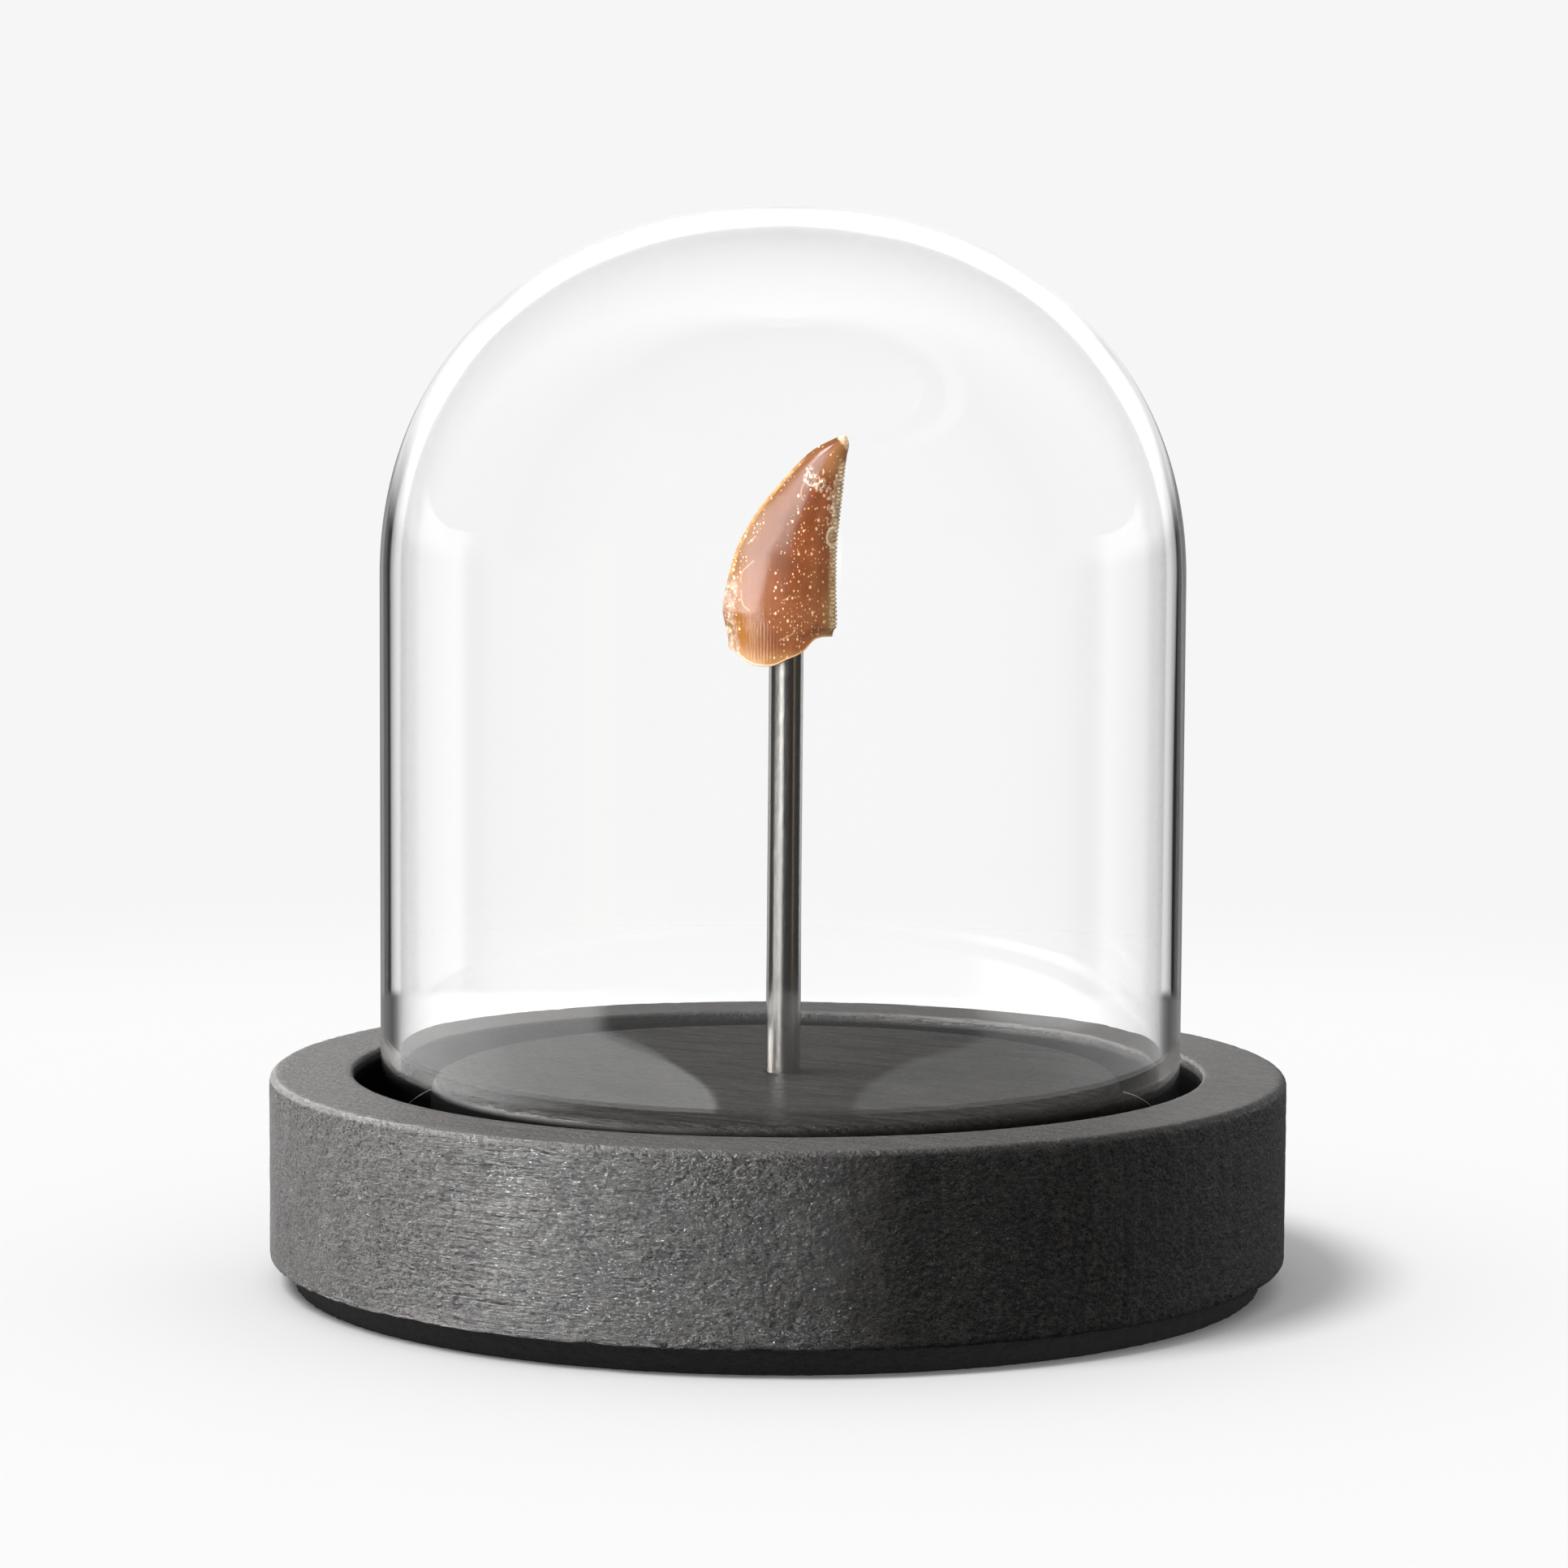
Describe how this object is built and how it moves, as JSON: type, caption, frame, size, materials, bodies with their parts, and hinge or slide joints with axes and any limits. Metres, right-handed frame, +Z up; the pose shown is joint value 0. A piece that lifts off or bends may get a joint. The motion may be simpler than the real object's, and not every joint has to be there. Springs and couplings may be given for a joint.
{
  "type": "fossil dinosaur tooth in a glass dome stand",
  "caption": "Small serrated fossil tooth on an upright steel rod, in a black turned wooden stand under a glass dome.",
  "frame": {"origin": "on the table, under the middle of the stand", "axes": "+Z up along the stand's height, +X to the right towards the tooth's tip, -Y towards the tooth's broad front side"},
  "size_m": [0.086, 0.086, 0.0905],
  "materials": {
    "black_wood": "black stain over open grain, satin",
    "black_felt": "pressed felt, matte",
    "steel": "ground round bar, slightly stained",
    "clear_glass": "clear blown glass",
    "fossil_enamel": "glossy caramel enamel with cream specks"
  },
  "bodies": {
    "root": {"base": "black_wood", "felt_pad": "black_felt", "rod": "steel", "glass_dome": "clear_glass", "tooth": "fossil_enamel"}
  },
  "joints": []
}
